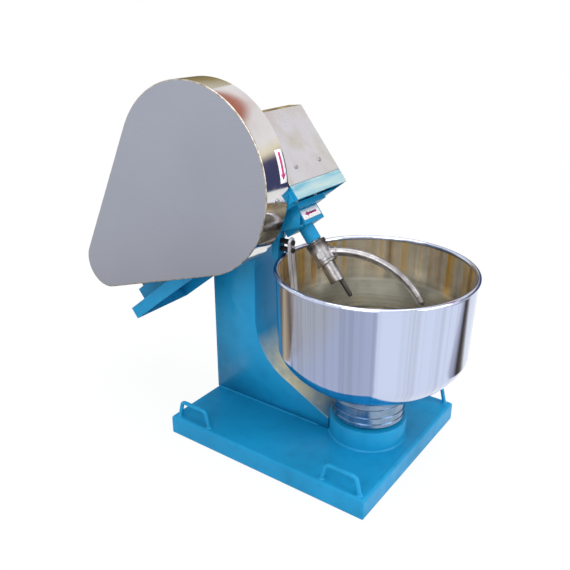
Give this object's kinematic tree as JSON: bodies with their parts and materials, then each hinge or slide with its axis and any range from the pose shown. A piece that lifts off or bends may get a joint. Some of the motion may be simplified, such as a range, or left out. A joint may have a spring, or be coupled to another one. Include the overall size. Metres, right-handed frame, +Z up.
{
  "type": "inclined-fork dough kneader",
  "caption": "Free-standing dough kneader: open steel bowl turning freely on a pedestal, bent fork on an inclined worm-driven shaft, belt guard and motor on a sloping tray, blue column and base.",
  "frame": {"origin": "on the floor under the bowl's axis, on the underside of the base", "axes": "+Z up, +X from the column towards the bowl's free side, -Y is the belt guard's side"},
  "size_m": [1.1366, 0.518, 0.9548],
  "materials": {
    "blue_paint": "glossy sky-blue machine enamel",
    "stainless_sheet": "brushed stainless sheet",
    "polished_stainless": "polished stainless with spinning marks",
    "machined_steel": "turned steel",
    "fork_casting": "ground cast steel",
    "fasteners": "zinc-plated",
    "cast_iron": "machined cast iron",
    "bronze": "cut bronze",
    "black_rubber": "matt",
    "motor_casting": "grey painted casting",
    "motor_sheet": "grey painted sheet",
    "black_plastic": "moulded"
  },
  "bodies": {
    "root": {"base_pan": "blue_paint", "base_frame": "blue_paint", "handle_front_near": "blue_paint", "handle_front_far": "blue_paint", "handle_rear_near": "blue_paint", "handle_rear_far": "blue_paint", "column_near_plate": "blue_paint", "column_far_plate": "blue_paint", "column_front_skin": "blue_paint", "column_rear_panel": "blue_paint", "rear_panel_screws": "fasteners", "saddle_plate": "blue_paint", "saddle_bolts": "fasteners", "head_tray": "blue_paint", "tray_ribs": "blue_paint", "gear_cover": "stainless_sheet", "gear_cover_screws": "fasteners", "upper_bearing_housing": "cast_iron", "kneader_bearings": "machined_steel", "lower_bearing_block": "blue_paint", "shaft_sleeve": "blue_paint", "shaft_seal": "black_rubber", "worm_brackets": "cast_iron", "worm_bearings": "machined_steel", "v_belts": "black_rubber", "guard_shell": "stainless_sheet", "guard_bracket_front": "blue_paint", "guard_bracket_rear": "blue_paint", "guard_screws": "fasteners", "motor_frame": "motor_casting", "motor_drive_shield": "motor_casting", "motor_rear_shield": "motor_casting", "motor_fan_cowl": "motor_sheet", "terminal_box": "black_plastic", "cable_gland": "black_plastic", "motor_rails": "blue_paint", "motor_bolts": "fasteners", "scraper_lug": "blue_paint", "scraper_bar": "machined_steel", "scraper_bolts": "fasteners", "pedestal_housing": "blue_paint", "spindle_bearings": "machined_steel", "dust_seal": "black_rubber"},
    "bowl": {"bowl": "polished_stainless", "bowl_hub": "machined_steel", "bowl_screws": "fasteners", "bowl_spindle": "machined_steel", "spindle_nuts": "fasteners"},
    "kneader": {"kneader_shaft": "machined_steel", "worm_wheel": "bronze", "wheel_hub": "cast_iron", "kneading_fork": "fork_casting", "clamp_bolt": "fasteners", "fork_finger": "fork_casting"},
    "worm_drive": {"worm_shaft": "machined_steel", "worm": "machined_steel", "large_pulley": "cast_iron"},
    "rotor": {"motor_rotor": "machined_steel", "motor_pulley": "cast_iron", "motor_fan": "black_plastic"}
  },
  "joints": [
    {"name": "bowl_spin", "type": "hinge", "parent": "root", "child": "bowl", "pos_m": [0, 0, 0.205], "axis": [0, 0, 1], "continuous": true},
    {"name": "kneader_spin", "type": "hinge", "parent": "root", "child": "kneader", "pos_m": [-0.23718, 0, 0.62617], "axis": [-0.6225, 0, 0.7826], "continuous": true},
    {"name": "worm_spin", "type": "hinge", "parent": "root", "child": "worm_drive", "pos_m": [-0.41935, 0, 0.71383], "axis": [0, 1, 0], "continuous": true},
    {"name": "rotor_spin", "type": "hinge", "parent": "root", "child": "rotor", "pos_m": [-0.76143, 0, 0.42766], "axis": [0, 1, 0], "continuous": true}
  ],
  "couplings": [
    {"joint": "worm_spin", "follows": "kneader_spin", "ratio": 14},
    {"joint": "rotor_spin", "follows": "kneader_spin", "ratio": 66.5}
  ]
}
